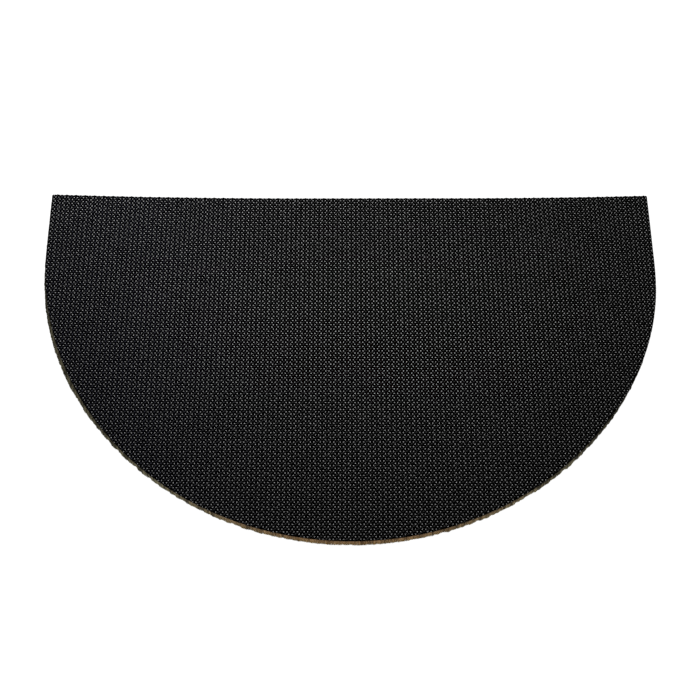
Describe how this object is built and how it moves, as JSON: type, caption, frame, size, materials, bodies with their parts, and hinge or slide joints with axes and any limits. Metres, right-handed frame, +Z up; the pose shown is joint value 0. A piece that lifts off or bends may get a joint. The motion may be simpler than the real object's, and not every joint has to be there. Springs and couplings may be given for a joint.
{
  "type": "half-round coir doormat",
  "caption": "Half-round coir doormat lying pile down, its black embossed backing up and its far corners curled a little, with a brown rim of coir.",
  "frame": {"origin": "on the surface the mat lies on, under the middle of its box", "axes": "+X along the straight edge, +Y from the curved rim toward the straight edge, +Z up, away from the surface"},
  "size_m": [0.7624, 0.458, 0.024],
  "materials": {
    "black_backing": "embossed with small spots, satin",
    "coir": "matt cut fibre"
  },
  "bodies": {
    "root": {"backing": "black_backing", "coir_pile": "coir"}
  },
  "joints": []
}
